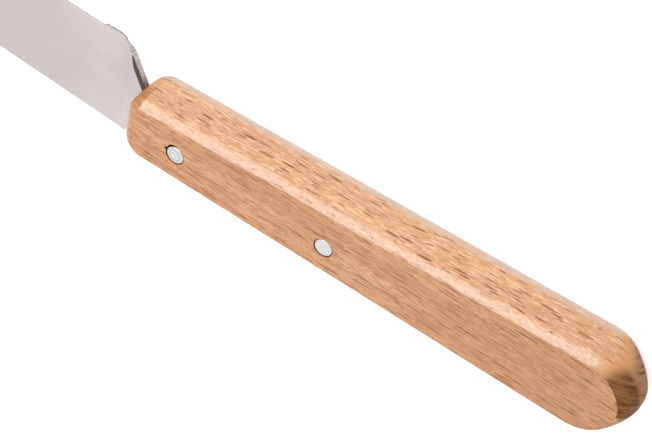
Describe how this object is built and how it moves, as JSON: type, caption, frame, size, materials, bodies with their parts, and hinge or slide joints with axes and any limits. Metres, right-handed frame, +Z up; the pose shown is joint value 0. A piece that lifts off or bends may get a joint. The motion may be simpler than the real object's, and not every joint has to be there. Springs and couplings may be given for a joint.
{
  "type": "palette knife",
  "caption": "Palette knife: long flexible steel blade with round tip and angled heel, its tang riveted into a flat hardwood handle that widens towards a rounded butt.",
  "frame": {"origin": "centre of the whole knife's box, on the surface that the handle's broad side lies on", "axes": "+X along the tang from the blade's tip to the handle's butt, +Y across the blade towards its heel, +Z up out of the broad side that faces away from the surface"},
  "size_m": [0.2675, 0.025, 0.0123],
  "materials": {
    "handle_wood": "fine-sanded oiled beech, satin",
    "blade_steel": "satin ground along the blade",
    "rivet_metal": "peened flush and sanded"
  },
  "bodies": {
    "root": {"handle": "handle_wood", "blade": "blade_steel", "front_rivet": "rivet_metal", "rear_rivet": "rivet_metal"}
  },
  "joints": []
}
